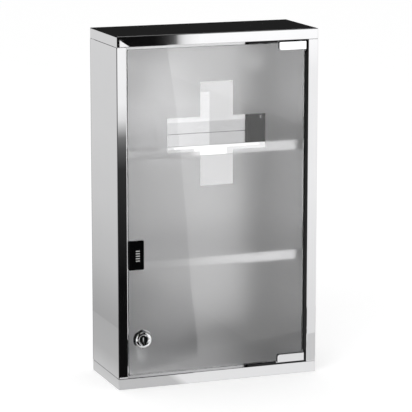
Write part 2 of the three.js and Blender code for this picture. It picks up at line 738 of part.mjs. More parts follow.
cabinet.add(
  piece("lock_barrel", barrel, chrome),
  piece("lock_gasket", gasket, blackPlastic),
  piece("lock_nut", nut, brightSteel),
  piece("lock_plug", plug, chrome),
  piece("lock_cam", camPlate.subtract(tailHole), brightSteel),
  piece("lock_cam_screw", camScrew, springSteel),
);

// Push catch: a housing on the lower shelf with a sprung plunger, whose magnet holds the strike plate.
const catchAxis = [CLIP_X, 0, CATCH_Z];
const catchBottom = LOWER_SHELF + FIT;
const catchRear = CATCH_FRONT + CATCH_LENGTH;
const catchBody = extrude(
  rectangle(
    CLIP_X - CATCH_WIDTH / 2,
    CLIP_X + CATCH_WIDTH / 2,
    catchBottom,
    catchBottom + CATCH_HEIGHT,
    CATCH_EAR_THICKNESS,
  ),
  ELEVATION,
  CATCH_FRONT,
  catchRear,
);
const earHalf = CATCH_WIDTH / 2 + CATCH_EAR;
const catchEars = extrude(
  rectangle(
    CLIP_X - earHalf,
    CLIP_X + earHalf,
    EAR_Y - CATCH_EAR_LENGTH / 2,
    EAR_Y + CATCH_EAR_LENGTH / 2,
    CATCH_EAR / 2,
  ),
  PLAN,
  catchBottom,
  catchBottom + CATCH_EAR_THICKNESS,
);
const boreEnd = PLUNGER_REAR + SPRING_LENGTH + 2 * FIT;
const catchBore = cylinder(PLUNGER_RADIUS + RUNNING, CATCH_FRONT - CATCH_OVERHANG, boreEnd, catchAxis, Y);
const earHoles = earPlaces.map((place) =>
  cylinder(SCREW_RADIUS + FIT, LOWER_SHELF, catchBottom + CATCH_HEIGHT, place),
);
const housing = catchBody.add(catchEars).subtract(catchBore).subtract(earHoles[0]).subtract(earHoles[1]);
const magnetSeat = MAGNET_FACE + MAGNET;
const plunger = turned(
  [
    [0, magnetSeat + FIT],
    [MAGNET_RADIUS + FIT, magnetSeat + FIT],
    [MAGNET_RADIUS + FIT, PLUNGER_FRONT],
    [PLUNGER_RADIUS, PLUNGER_FRONT],
    [PLUNGER_RADIUS, PLUNGER_REAR],
    [0, PLUNGER_REAR],
  ],
  catchAxis,
  Y,
);

// The catch's spring: one wire wound between the plunger and the end of the bore.
class Coil extends THREE.Curve {
  getPoint(t, target = new THREE.Vector3()) {
    const angle = 2 * Math.PI * SPRING_TURNS * t;
    const run = SPRING_LENGTH - 2 * SPRING_WIRE - 2 * FIT;
    const y = PLUNGER_REAR + SPRING_WIRE + 2 * FIT + run * t;
    return target.set(CLIP_X + SPRING_RADIUS * Math.cos(angle), y, CATCH_Z + SPRING_RADIUS * Math.sin(angle));
  }
}
const wire = new THREE.Shape().absarc(0, 0, SPRING_WIRE, 0, 2 * Math.PI);
const spring = new THREE.ExtrudeGeometry(wire, {
  steps: SPRING_TURNS * 8,
  curveSegments: 5,
  extrudePath: new Coil(),
});
function catchScrew(place) {
  const head = catchBottom + CATCH_EAR_THICKNESS + FIT;
  return turned(
    [
      [0, head - SCREW_LENGTH],
      [SCREW_RADIUS, head - SCREW_LENGTH],
      [SCREW_RADIUS, head],
      [SCREW_HEAD, head],
      [SCREW_HEAD * 0.6, head + SCREW_HEAD_HEIGHT],
      [0, head + SCREW_HEAD_HEIGHT],
    ],
    place,
  );
}
cabinet.add(
  piece("catch_housing", housing, blackPlastic),
  piece("catch_plunger", plunger, whitePlastic),
  piece("catch_magnet", cylinder(MAGNET_RADIUS, MAGNET_FACE, magnetSeat, catchAxis, Y), magnetGrey),
  piece("catch_spring", solid(spring), springSteel),
  piece("catch_screw_left", catchScrew(earPlaces[0]), springSteel),
  piece("catch_screw_right", catchScrew(earPlaces[1]), springSteel),
);

export default cabinet;
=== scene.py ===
import math

import bmesh
import bpy
from mathutils import Matrix, Vector


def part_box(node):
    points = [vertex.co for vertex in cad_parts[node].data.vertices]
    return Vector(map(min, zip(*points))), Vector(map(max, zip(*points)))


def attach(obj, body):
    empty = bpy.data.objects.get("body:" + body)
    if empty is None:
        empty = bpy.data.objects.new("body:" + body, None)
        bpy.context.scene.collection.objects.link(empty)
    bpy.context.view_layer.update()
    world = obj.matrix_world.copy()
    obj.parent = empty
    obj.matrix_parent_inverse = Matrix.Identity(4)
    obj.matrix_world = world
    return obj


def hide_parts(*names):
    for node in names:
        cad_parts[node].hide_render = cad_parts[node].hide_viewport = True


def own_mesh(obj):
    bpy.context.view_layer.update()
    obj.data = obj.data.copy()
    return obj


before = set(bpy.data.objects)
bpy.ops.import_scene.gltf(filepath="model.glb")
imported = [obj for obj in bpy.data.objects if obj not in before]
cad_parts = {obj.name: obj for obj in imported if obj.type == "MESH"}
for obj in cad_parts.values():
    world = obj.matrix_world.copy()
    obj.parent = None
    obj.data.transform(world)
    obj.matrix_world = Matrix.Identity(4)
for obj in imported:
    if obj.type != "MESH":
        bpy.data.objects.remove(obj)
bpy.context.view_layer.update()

scene = bpy.context.scene
scene.view_settings.view_transform = "Standard"

# Carcass: a cap, a base, two side panels and a back of 1 mm stainless sheet. They are folded on a press
# brake, spot-welded at the flanges, and polished to a mirror inside and out.
MM = 0.001


def linear(hex_colour):
    """An sRGB colour such as "8fa1b2" as a linear RGBA."""
    parts = [int(hex_colour[i : i + 2], 16) / 255 for i in (0, 2, 4)]
    return [c / 12.92 if c <= 0.04045 else ((c + 0.055) / 1.055) ** 2.4 for c in parts] + [1.0]


def add(tree, kind, values=None, links=None, **settings):
    """A new node in a tree, with its settings, socket values and links."""
    node = tree.nodes.new(kind)
    for name, value in settings.items():
        setattr(node, name, value)
    for name, value in (values or {}).items():
        node.inputs[name].default_value = value
    for name, socket in (links or {}).items():
        tree.links.new(socket, node.inputs[name])
    return node


def new_material(name):
    """An empty material, its tree, and the Object coordinates that its patterns lie on."""
    material = bpy.data.materials.new(name)
    material.use_nodes = True
    tree = material.node_tree
    tree.nodes.clear()
    return material, tree, add(tree, "ShaderNodeTexCoord").outputs["Object"]


def dress(material, *names):
    """Gives CAD nodes a material."""
    for name in names:
        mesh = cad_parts[name].data
        mesh.materials.clear()
        mesh.materials.append(material)


def corner_fade(tree, place, x_fade, y_fade, top=1.0):
    """A level that climbs from 0 to the top between two places in x and two places in y, in metres."""
    sides = add(tree, "ShaderNodeSeparateXYZ", None, {"Vector": place})
    across = add(
        tree,
        "ShaderNodeMapRange",
        {"From Min": x_fade[0], "From Max": x_fade[1], "To Max": top},
        {"Value": sides.outputs["X"]},
    )
    along = add(
        tree,
        "ShaderNodeMapRange",
        {"From Min": y_fade[0], "From Max": y_fade[1]},
        {"Value": sides.outputs["Y"]},
    )
    both = add(
        tree,
        "ShaderNodeMath",
        None,
        {0: across.outputs["Result"], 1: along.outputs["Result"]},
        operation="MULTIPLY",
    )
    return both.outputs["Value"]


def polished_metal(name, hexes, roughness, wave, smear_mm, bend=None):
    """A metal with a slow wave, as (length, height) in millimetres, and smears left by the polishing cloth.
    A bend gives the places in x and y between which an upright fold starts, and the darker colour of a
    painted reflection on the fold."""
    material, tree, place = new_material(name)
    swell = add(tree, "ShaderNodeTexNoise", {"Scale": 1 / (wave[0] * MM), "Detail": 1.0}, {"Vector": place})
    bump = add(
        tree,
        "ShaderNodeBump",
        {"Strength": 1.0, "Distance": wave[1] * MM},
        {"Height": swell.outputs["Fac"]},
    )
    smear = add(tree, "ShaderNodeTexNoise", {"Scale": 1 / (smear_mm * MM), "Detail": 4.0}, {"Vector": place})
    gloss = add(
        tree,
        "ShaderNodeMapRange",
        {"From Min": 0.3, "From Max": 0.75, "To Min": roughness[0], "To Max": roughness[1]},
        {"Value": smear.outputs["Fac"]},
    )
    tint = add(
        tree,
        "ShaderNodeMix",
        {6: linear(hexes[0]), 7: linear(hexes[1])},
        {0: smear.outputs["Fac"]},
        data_type="RGBA",
    )
    colour = tint.outputs[2]
    if bend:
        # Painted reflection: the fold's colour is mixed towards the bend's darker colour between the given
        # places.
        painted_reflection = add(
            tree,
            "ShaderNodeMix",
            {7: linear(bend["hex"])},
            {0: corner_fade(tree, place, bend["x"], bend["y"]), 6: colour},
            data_type="RGBA",
        )
        colour = painted_reflection.outputs[2]
    shader = add(
        tree,
        "ShaderNodeBsdfPrincipled",
        {"Metallic": 1.0},
        {"Base Color": colour, "Roughness": gloss.outputs["Result"], "Normal": bump.outputs["Normal"]},
    )
    add(tree, "ShaderNodeOutputMaterial", None, {"Surface": shader.outputs["BSDF"]})
    return material


# Mirror-polished stainless: sharp reflections, a little grey, that the rolled sheet's slow swell bends.
STEEL_HEXES = ("dbdbdc", "d8d8d9")
SHEET_FINISH = {"roughness": (0.02, 0.05), "wave": (160, 0.02), "smear_mm": 28}
stainless = polished_metal("stainless_steel_mirror_polished", STEEL_HEXES, **SHEET_FINISH)
dress(stainless, "top_cap", "base_tray", "right_side_panel", "back_panel")
# The left side is the same steel, with a painted dark reflection on its front bend: a darker colour in place
# of the dark surroundings that the fold mirrors.
LEFT_BEND_PAINTED_REFLECTION = {"x": (-0.1488, -0.1491), "y": (-0.0588, -0.0591), "hex": "606062"}
stainless_with_painted_bend_reflection = polished_metal(
    "stainless_steel_mirror_polished_painted_bend_reflection", STEEL_HEXES, **SHEET_FINISH, bend=LEFT_BEND_PAINTED_REFLECTION
)
dress(stainless_with_painted_bend_reflection, "left_side_panel")

# Shelves: two trays of the same sheet, each with a folded front lip and a rear flange. Each rests on a pair
# of angle rails that are spot-welded to the walls.
# The same mirror as the carcass, with a paler and brighter colour.
bright_stainless = polished_metal("stainless_steel_mirror_polished_paler", ("f0f0f1", "eeeeef"), **SHEET_FINISH)
dress(bright_stainless, "upper_shelf", "lower_shelf")
dress(stainless, "upper_left_rail", "upper_right_rail", "lower_left_rail", "lower_right_rail")

# Seal: a black rubber strip round the hinge side of the opening, stuck to the right stile, the cap and the
# base. Its black is painted shade, standing in for the dark gap on the hinge side. It is extruded, with
# rounded edges, and cut thinner beside the hinge clamps so that they clear it.
WELD = 0.002 * MM
SHARP = math.radians(32)


def piece(name, shape, material, body, slot, *stands_for):
    """A new piece from a bmesh: smooth but for its sharp edges, riding on a body, in place of CAD nodes."""
    bmesh.ops.remove_doubles(shape, verts=shape.verts, dist=WELD)
    bmesh.ops.recalc_face_normals(shape, faces=shape.faces)
    for face in shape.faces:
        face.smooth = True
    for edge in shape.edges:
        edge.smooth = edge.calc_face_angle(0) < SHARP
    mesh = bpy.data.meshes.new(name)
    shape.to_mesh(mesh)
    shape.free()
    mesh.materials.append(material)
    made = bpy.data.objects.new(name, mesh)
    scene.collection.objects.link(made)
    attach(made, body)
    if stands_for:
        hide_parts(*stands_for)
    return made


def block(shape, low, high, round_mm):
    """A block between two corners in millimetres, with its edges rounded."""
    size = Vector(high) - Vector(low)
    middle = (Vector(high) + Vector(low)) / 2
    made = bmesh.ops.create_cube(shape, size=1, matrix=Matrix.Diagonal((*(size * MM), 1)))["verts"]
    bmesh.ops.translate(shape, vec=middle * MM, verts=made)
    bmesh.ops.bevel(
        shape,
        geom=[edge for edge in shape.edges if edge.verts[0] in made],
        offset=round_mm * MM,
        affect="EDGES",
        segments=3,
        profile=0.5,
        material=-1,
    )


def grained(name, hexes, roughness, grain_mm, grain_height_mm):
    """A plastic, rubber or coating, with a fine grain in its height, colour and gloss."""
    material, tree, place = new_material(name)
    grain = add(tree, "ShaderNodeTexNoise", {"Scale": 1 / (grain_mm * MM), "Detail": 3.0}, {"Vector": place})
    bump = add(
        tree,
        "ShaderNodeBump",
        {"Strength": 0.5, "Distance": grain_height_mm * MM},
        {"Height": grain.outputs["Fac"]},
    )
    gloss = add(
        tree,
        "ShaderNodeMapRange",
        {"To Min": roughness[0], "To Max": roughness[1]},
        {"Value": grain.outputs["Fac"]},
    )
    tint = add(
        tree,
        "ShaderNodeMix",
        {6: linear(hexes[0]), 7: linear(hexes[1])},
        {0: grain.outputs["Fac"]},
        data_type="RGBA",
    )
    shader = add(
        tree,
        "ShaderNodeBsdfPrincipled",
        {"IOR": 1.5},
        {
            "Base Color": tint.outputs[2],
            "Roughness": gloss.outputs["Result"],
            "Normal": bump.outputs["Normal"],
        },
    )
    add(tree, "ShaderNodeOutputMaterial", None, {"Surface": shader.outputs["BSDF"]})
    return material


# Extruded black EPDM: nearly black and dull, with a faint grain. Its black is the painted shade of the
# hinge-side gap.
black_rubber_painted_shade = grained("epdm_black_painted_shade", ("050505", "090909"), (0.6, 0.75), 1.0, 0.02)
SEAL_EDGE_MM = 0.4
SEAL_LEGS = (
    ((131.4, -59.2, 33.0), (135.45, -51.0, 468.0)),
    ((134.2, -59.2, 17.3), (135.45, -51.0, 33.0)),
    ((134.2, -59.2, 468.0), (135.45, -51.0, 483.7)),
    ((46.0, -59.4, 482.0), (88.5, -56.5, 484.95)),
    ((88.5, -59.4, 483.8), (135.4, -56.5, 484.95)),
    ((46.0, -59.4, 16.05), (88.5, -56.5, 19.0)),
    ((88.5, -59.4, 16.05), (135.4, -56.5, 17.2)),
)
seal = bmesh.new()
for low, high in SEAL_LEGS:
    block(seal, low, high, SEAL_EDGE_MM)
piece("hinge_seal_painted_shade", seal, black_rubber_painted_shade, "cabinet", "grey_rubber")

# Door: a sheet of 4 mm float glass with ground and polished edges. Its back is acid-etched, apart from a
# narrow margin, a clear cross and the places of the fittings.
GLASS_HEX = "fbfbfb"
WIPE_MM = 35
FROST_HEXES = ("f3f3f3", "f1f1f1")
FROST_GRAIN_MM = 0.6

# Polished float glass: clear and colourless, with faint wiping marks in its gloss.
float_glass, tree, place = new_material("float_glass_polished")
marks = add(tree, "ShaderNodeTexNoise", {"Scale": 1 / (WIPE_MM * MM), "Detail": 4.0}, {"Vector": place})
gloss = add(
    tree,
    "ShaderNodeMapRange",
    {"From Min": 0.45, "From Max": 0.8, "To Min": 0.0, "To Max": 0.02},
    {"Value": marks.outputs["Fac"]},
)
shader = add(
    tree,
    "ShaderNodeBsdfPrincipled",
    {"Base Color": linear(GLASS_HEX), "IOR": 1.5, "Transmission Weight": 1.0},
    {"Roughness": gloss.outputs["Result"]},
)
add(tree, "ShaderNodeOutputMaterial", None, {"Surface": shader.outputs["BSDF"]})
dress(float_glass, "door_glass")

# Etched glass: it spreads what is behind it into soft bands. The real grit, about 0.05 mm, is too fine to
# show, so the grain is drawn at 0.6 mm.
etched_glass, tree, place = new_material("glass_acid_etched")
grit = add(tree, "ShaderNodeTexNoise", {"Scale": 1 / (FROST_GRAIN_MM * MM), "Detail": 2.0}, {"Vector": place})
gloss = add(tree, "ShaderNodeMapRange", {"To Min": 0.46, "To Max": 0.50}, {"Value": grit.outputs["Fac"]})
tint = add(
    tree,
    "ShaderNodeMix",
    {6: linear(FROST_HEXES[0]), 7: linear(FROST_HEXES[1])},
    {0: grit.outputs["Fac"]},
    data_type="RGBA",
)
shader = add(
    tree,
    "ShaderNodeBsdfPrincipled",
    {"IOR": 1.3, "Transmission Weight": 0.92},
    {"Base Color": tint.outputs[2], "Roughness": gloss.outputs["Result"]},
)
add(tree, "ShaderNodeOutputMaterial", None, {"Surface": shader.outputs["BSDF"]})
dress(etched_glass, "frost_layer")

# Pivot hinges: a clamp of chrome-plated zinc grips each right corner of the glass through a soft liner. Two
# socket grub screws tighten it from behind, and a steel pin turns in a nylon bush in the carcass.
# Chrome plate: the brightest mirror on the cabinet, nearly without roughness.
chrome = polished_metal("zinc_chrome_plated", ("f4f4f5", "f1f1f2"), (0.02, 0.05), (40, 0.004), 9)
# Drawn steel: a soft grey shine with fine smears.
drawn_steel = polished_metal("steel_bright_drawn", ("c9cbce", "bfc1c4"), (0.12, 0.22), (30, 0.01), 6)
# Blackened alloy steel, as on socket screws: dark, with an oily shine.
black_steel = polished_metal("alloy_steel_blackened", ("3a3b3d", "2e2f31"), (0.3, 0.42), (12, 0.01), 3)
# Natural nylon: off-white and waxy.
nylon = grained("nylon_natural_moulded", ("e6e5df", "dedcd4"), (0.4, 0.5), 0.8, 0.01)
# Soft PVC: a dull grey, with no clear reflection.
soft_pvc = grained("pvc_grey_extruded", ("505254", "484a4c"), (0.65, 0.8), 1.0, 0.02)
for level in ("upper", "lower"):
    dress(chrome, level + "_hinge_clamp")
    dress(soft_pvc, level + "_hinge_liner")
    dress(drawn_steel, level + "_hinge_pin")
    dress(nylon, level + "_hinge_bush")
    dress(black_steel, level + "_grub_screw_left", level + "_grub_screw_right")

# Push clip: a moulded clip on the door's left edge, pressed to open the catch. Five raised bars on its face
# mark where to push, and a steel strike plate in its back meets the magnet.
# Moulded ABS: deep black with a clear shine, over a faint grain from the mould.
black_abs = grained("abs_black_moulded", ("040405", "080808"), (0.1, 0.16), 0.6, 0.004)
# Pad-printed ink on the bars: light grey and matt.
grey_ink = grained("ink_grey_printed", ("b4b4b2", "a6a6a4"), (0.5, 0.6), 0.4, 0.005)
dress(black_abs, "push_clip")
dress(drawn_steel, "strike_plate")
CLIP_FACE = -61.0
BAR = {"left": -124.2, "right": -118.2, "thick": 1.7, "proud": 0.25, "sunk": 0.1, "edge": 0.12}
BAR_HEIGHTS = (184.5, 188.0, 191.5, 195.0, 198.5)
bars = bmesh.new()
for height in BAR_HEIGHTS:
    block(
        bars,
        (BAR["left"], CLIP_FACE - BAR["proud"], height - BAR["thick"] / 2),
        (BAR["right"], CLIP_FACE + BAR["sunk"], height + BAR["thick"] / 2),
        BAR["edge"],
    )
piece("clip_bars", bars, grey_ink, "door", "white_plastic")

# Cam lock: a die-cast barrel with a domed ring, clamped to the glass by a nut behind. Its plug, with a
# shutter in the keyway, turns a flat cam that swings behind the stile.
LOCK_X = -113
LOCK_Z = 70


def turned(shape, profile):
    """A closed loop or an open line of (radius, y) points in millimetres, turned about the Y axis."""
    verts = [shape.verts.new((radius * MM, y * MM, 0)) for radius, y in profile]
    edges = [shape.edges.new(pair) for pair in zip(verts, verts[1:])]
    bmesh.ops.spin(
        shape,
        geom=verts + edges,
        cent=(0, 0, 0),
        axis=(0, 1, 0),
        dvec=(0, 0, 0),
        angle=2 * math.pi,
        steps=96,
        use_merge=True,
        use_duplicate=False,
    )
    bmesh.ops.remove_doubles(shape, verts=shape.verts, dist=WELD)


# How near to a plane, in metres, a point counts as lying in it.
ON_FACE = 1e-7


def faces_at(shape, y):
    """The faces that lie in the plane at y."""
    return [face for face in shape.faces if all(abs(vert.co.y - y * MM) < ON_FACE for vert in face.verts)]


def push_rectangle(shape, y, half, depth):
    """Pushes a rectangle, half its width and height given, into or out of the flat face at y."""
    for axis, reach in ((Vector((1, 0, 0)), half[0]), (Vector((0, 0, 1)), half[1])):
        for side in (-1, 1):
            faces = faces_at(shape, y)
            edges = dict.fromkeys(edge for face in faces for edge in face.edges)
            verts = dict.fromkeys(vert for face in faces for vert in face.verts)
            bmesh.ops.bisect_plane(
                shape,
                geom=[*faces, *edges, *verts],
                dist=ON_FACE,
                plane_co=axis * side * reach * MM,
                plane_no=axis,
            )
    inside = [
        face
        for face in faces_at(shape, y)
        if abs(face.calc_center_median().x) < half[0] * MM and abs(face.calc_center_median().z) < half[1] * MM
    ]
    moved = bmesh.ops.extrude_face_region(shape, geom=inside)["geom"]
    bmesh.ops.delete(shape, geom=inside, context="FACES")
    corners = [part for part in moved if isinstance(part, bmesh.types.BMVert)]
    bmesh.ops.translate(shape, vec=(0, depth * MM, 0), verts=corners)


# The ring's face is an arc, steep at the rim and nearly level at the plug. The barrel behind it is threaded.
RING = {"outer": 11.4, "front": -61.8, "back": -58.8, "bow": 6.7, "lip": 0.2}
RING_SLOPES = [math.radians(degrees) for degrees in (36, 32, 28, 24, 20, 16, 12, 8)]
BARREL = {"radius": 9.2, "bore": 6.2, "rear": -49.1, "chamfer": 0.4, "mouth": 0.1, "mouth_depth": 0.3}
THREAD = {"start": -49.4, "pitch": 0.9, "depth": 0.35, "points": 9}
PLUG_FRONT = -59.8
dome = [
    (
        RING["outer"] - RING["lip"] - RING["bow"] * (math.sin(RING_SLOPES[0]) - math.sin(slope)),
        RING["front"] + RING["bow"] * (math.cos(RING_SLOPES[-1]) - math.cos(slope)),
    )
    for slope in RING_SLOPES
]
threads = [
    (BARREL["radius"] - THREAD["depth"] * (point % 2), THREAD["start"] - THREAD["pitch"] / 2 * point)
    for point in range(THREAD["points"])
]
barrel = bmesh.new()
turned(
    barrel,
    [
        (BARREL["bore"], BARREL["rear"]),
        (BARREL["radius"] - BARREL["chamfer"], BARREL["rear"]),
        *threads,
        (BARREL["radius"], RING["back"]),
        (RING["outer"], RING["back"]),
        (RING["outer"], dome[0][1] + RING["lip"]),
        *dome,
        (dome[-1][0] - RING["lip"], RING["front"] + RING["lip"] / 2),
        (BARREL["bore"] + BARREL["mouth"], PLUG_FRONT + BARREL["mouth"]),
        (BARREL["bore"], PLUG_FRONT + BARREL["mouth_depth"]),
        (BARREL["bore"], BARREL["rear"]),
    ],
)
bmesh.ops.translate(barrel, vec=(LOCK_X * MM, 0, LOCK_Z * MM), verts=barrel.verts)
piece("lock_bezel", barrel, chrome, "door", "chrome", "lock_barrel")

# The plug has a keyway in its face, and a square tail at its rear for the cam.
PLUG = {"radius": 6.0, "rear": -49.1, "edge": 0.3}
KEYWAY = {"half": (1.0, 4.0), "depth": 6}
TAIL = {"half": (3.5, 3.5), "length": 2}
plug = bmesh.new()
turned(
    plug,
    [
        (0, PLUG_FRONT),
        (PLUG["radius"] - PLUG["edge"], PLUG_FRONT),
        (PLUG["radius"], PLUG_FRONT + PLUG["edge"]),
        (PLUG["radius"], PLUG["rear"]),
        (0, PLUG["rear"]),
    ],
)
push_rectangle(plug, PLUG_FRONT, KEYWAY["half"], KEYWAY["depth"])
push_rectangle(plug, PLUG["rear"], TAIL["half"], TAIL["length"])
bmesh.ops.translate(plug, vec=(LOCK_X * MM, 0, LOCK_Z * MM), verts=plug.verts)
piece("lock_plug_face", plug, chrome, "lock_core", "chrome", "lock_plug")

# The shutter is a round bar with rounded ends, a little way inside the keyway.
SHUTTER = {"radius": 0.9, "length": 7.6, "inside": 1.3, "edge": 0.4}
shutter = bmesh.new()
bmesh.ops.create_cone(
    shutter,
    cap_ends=True,
    segments=32,
    radius1=SHUTTER["radius"] * MM,
    radius2=SHUTTER["radius"] * MM,
    depth=SHUTTER["length"] * MM,
    matrix=Matrix.Translation((LOCK_X * MM, (PLUG_FRONT + SHUTTER["inside"]) * MM, LOCK_Z * MM)),
)
bmesh.ops.bevel(
    shutter,
    geom=[edge for edge in shutter.edges if abs(edge.verts[0].co.z - edge.verts[1].co.z) < WELD],
    offset=SHUTTER["edge"] * MM,
    affect="EDGES",
    segments=3,
    profile=0.5,
    material=-1,
)
piece("lock_shutter", shutter, chrome, "lock_core", "chrome")

# Zinc flake coating on pressed steel: a pale, dull silver, so that the cam shows through the etched glass.
zinc_coat = grained("steel_zinc_flake_coated", ("ececed", "e4e4e6"), (0.45, 0.55), 0.5, 0.01)
dress(zinc_coat, "lock_cam")
dress(drawn_steel, "lock_nut", "lock_cam_screw")
dress(black_abs, "lock_gasket")

# Push catch: a moulded housing screwed to the lower shelf. A spring drives its nylon plunger, whose magnet
# holds the strike plate until the clip is pressed.
# Nickel-plated magnet: a warm grey shine.
nickel = polished_metal("magnet_nickel_plated", ("b9b4aa", "aca79e"), (0.14, 0.22), (8, 0.005), 3)
# Spring steel wire, drawn and oiled: dark grey with a clear shine.
spring_steel = polished_metal("spring_steel_oiled", ("8b8c8e", "7c7d80"), (0.2, 0.3), (10, 0.01), 3)
dress(black_abs, "catch_housing")
dress(nylon, "catch_plunger")
dress(nickel, "catch_magnet")
dress(spring_steel, "catch_screw_left", "catch_screw_right")

# The spring is a coil of six turns, with its wire drawn to 0.9 mm. The real spring shortens by the plunger's
# travel; this coil keeps one length.
SPRING_TURNS = 6
SPRING_STEPS = 32
SPRING_WIRE = 0.45 * MM
WIRE_SIDES = 12
near, far = (Vector(corner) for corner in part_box("catch_spring"))
middle = (near + far) / 2
rise = (far.y - near.y - 2 * SPRING_WIRE) / (SPRING_TURNS * SPRING_STEPS)
spring = bmesh.new()
coil_radius = (far.x - near.x) / 2 - SPRING_WIRE
wire = bmesh.ops.create_circle(
    spring,
    segments=WIRE_SIDES,
    radius=SPRING_WIRE,
    matrix=Matrix.Translation((middle.x + coil_radius, near.y + SPRING_WIRE, middle.z)),
)["verts"]
bmesh.ops.spin(
    spring,
    geom=wire + spring.edges[:],
    cent=middle,
    axis=(0, 1, 0),
    dvec=(0, rise, 0),
    angle=2 * math.pi * SPRING_TURNS,
    steps=SPRING_TURNS * SPRING_STEPS,
    use_merge=False,
    use_duplicate=False,
)
bmesh.ops.holes_fill(spring, edges=[edge for edge in spring.edges if edge.is_boundary], sides=0)
coil = piece("catch_coil", spring, spring_steel, "cabinet", "spring_steel", "catch_spring")
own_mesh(coil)

# Camera: a long lens to the left of the cabinet and above it, turned to the right and tipped down. Its place
# was fitted to the cabinet's edges.
CAMERA_TURN = math.radians(20.40)
CAMERA_DIP = math.radians(11.04)
lens = bpy.data.cameras.new("camera")
lens.sensor_width = 36
lens.lens = 203.2
camera = bpy.data.objects.new("camera", lens)
camera.location = (-1.138, -3.068, 0.882)
camera.rotation_euler = (math.pi / 2 - CAMERA_DIP, 0, -CAMERA_TURN)
scene.collection.objects.link(camera)
scene.camera = camera


# Floor and room: a pale floor and an even white room. Both are white to the camera, and the floor keeps the
# cabinet's shadow.
def ray_levels(tree, seen, mirrored, through, lit):
    """A level for each kind of ray: the camera's, mirrored ones, those through glass, and all others."""
    path = add(tree, "ShaderNodeLightPath")
    level = add(tree, "ShaderNodeMix", {2: lit, 3: mirrored}, {0: path.outputs["Is Glossy Ray"]}).outputs[0]
    for kind, value in (("Is Transmission Ray", through), ("Is Camera Ray", seen)):
        level = add(tree, "ShaderNodeMix", {3: value}, {0: path.outputs[kind], 2: level}).outputs[0]
    return level


WHITE = linear("ffffff")
room = bpy.data.worlds.new("white_room")
room.use_nodes = True
tree = room.node_tree
tree.nodes.clear()
glow = add(
    tree,
    "ShaderNodeBackground",
    {"Color": WHITE},
    {"Strength": ray_levels(tree, seen=1.0, mirrored=1.0, through=1.0, lit=0.75)},
)
add(tree, "ShaderNodeOutputWorld", None, {"Surface": glow.outputs["Background"]})
scene.world = room

# Matt white paper: it has no reflection, and a mottle that is hardly seen.
MOTTLE_MM = 60
FLOOR_REACH = 30
paper, tree, place = new_material("paper_white_matt")
mottle = add(tree, "ShaderNodeTexNoise", {"Scale": 1 / (MOTTLE_MM * MM), "Detail": 3.0}, {"Vector": place})
tint = add(
    tree,
    "ShaderNodeMix",
    {6: linear("e6e6e6"), 7: linear("e4e4e4")},
    {0: mottle.outputs["Fac"]},
    data_type="RGBA",
)
shader = add(
    tree,
    "ShaderNodeBsdfPrincipled",
    {"Roughness": 0.9, "Emission Color": WHITE, "Specular IOR Level": 0.0},
    {
        "Base Color": tint.outputs[2],
        "Emission Strength": ray_levels(tree, seen=0.4, mirrored=0.25, through=1.2, lit=0.0),
    },
)
add(tree, "ShaderNodeOutputMaterial", None, {"Surface": shader.outputs["BSDF"]})
floor_shape = bmesh.new()
bmesh.ops.create_grid(floor_shape, x_segments=1, y_segments=1, size=FLOOR_REACH)
floor_mesh = bpy.data.meshes.new("floor")
floor_shape.to_mesh(floor_mesh)
floor_shape.free()
floor_mesh.materials.append(paper)
floor = bpy.data.objects.new("floor", floor_mesh)
scene.collection.objects.link(floor)

# Lamp: one large softbox, in front, to the left and above. It points at the middle of the cabinet, and the
# steel doesn't mirror it.
LAMP_AIM = Vector((0, 0, 0.25))
softbox = bpy.data.lights.new("softbox", "AREA")
softbox.shape = "RECTANGLE"
softbox.size = 1.6
softbox.size_y = 1.6
softbox.energy = 20
lamp = bpy.data.objects.new("softbox", softbox)
lamp.location = (-1.4, -1.8, 2.2)
lamp.rotation_euler = (LAMP_AIM - lamp.location).to_track_quat("-Z", "Y").to_euler()
lamp.visible_glossy = False
scene.collection.objects.link(lamp)


# Cards: the dark and pale boards that a photographer sets round polished steel. Only mirrored rays see them,
# or only rays through glass, so that they light nothing else and cast no shadow.
def card(name, corners, material, mirrored=True, through=False):
    """A flat board from its corners in metres, seen by mirrored rays or by rays through glass."""
    shape = bmesh.new()
    shape.faces.new([shape.verts.new(corner) for corner in corners])
    mesh = bpy.data.meshes.new(name)
    shape.to_mesh(mesh)
    shape.free()
    mesh.materials.append(material)
    board = bpy.data.objects.new(name, mesh)
    scene.collection.objects.link(board)
    board.visible_camera = False
    board.visible_diffuse = False
    board.visible_shadow = False
    board.visible_glossy = mirrored
    board.visible_transmission = through


def upright(y, x0, x1, z0, z1):
    """The corners of an upright board that faces along Y."""
    return [(x0, y, z0), (x1, y, z0), (x1, y, z1), (x0, y, z1)]


def sideways(x, y0, y1, z0, z1):
    """The corners of an upright board that faces along X."""
    return [(x, y0, z0), (x, y1, z0), (x, y1, z1), (x, y0, z1)]


def flat(z, x0, x1, y0, y1):
    """The corners of a level board at a height z."""
    return [(x0, y0, z), (x1, y0, z), (x1, y1, z), (x0, y1, z)]


def shine(tree, level):
    """Ends a board's tree with white light of a given level."""
    shader = add(tree, "ShaderNodeEmission", {"Color": WHITE}, {"Strength": level})
    add(tree, "ShaderNodeOutputMaterial", None, {"Surface": shader.outputs["Emission"]})


def shaded_board(name, axis, stops):
    """A board's level along one axis, from pairs of a place in metres and a level."""
    material, tree, place = new_material(name)
    along = add(tree, "ShaderNodeSeparateXYZ", None, {"Vector": place}).outputs[axis]
    level = None
    for (start, low), (end, high) in zip(stops, stops[1:]):
        climb = {"From Min": start, "From Max": end, "To Min": 0.0, "To Max": high - low}
        step = add(tree, "ShaderNodeMapRange", climb, {"Value": along}).outputs["Result"]
        if level is None:
            level = add(tree, "ShaderNodeMath", {1: low}, {0: step}).outputs[0]
        else:
            level = add(tree, "ShaderNodeMath", None, {0: level, 1: step}).outputs[0]
    shine(tree, level)
    return material


def plain_board(name, mirrored, through):
    """A board with one level for mirrored rays and one for rays through glass."""
    material, tree, _ = new_material(name)
    shine(tree, ray_levels(tree, seen=0.0, mirrored=mirrored, through=through, lit=0.0))
    return material


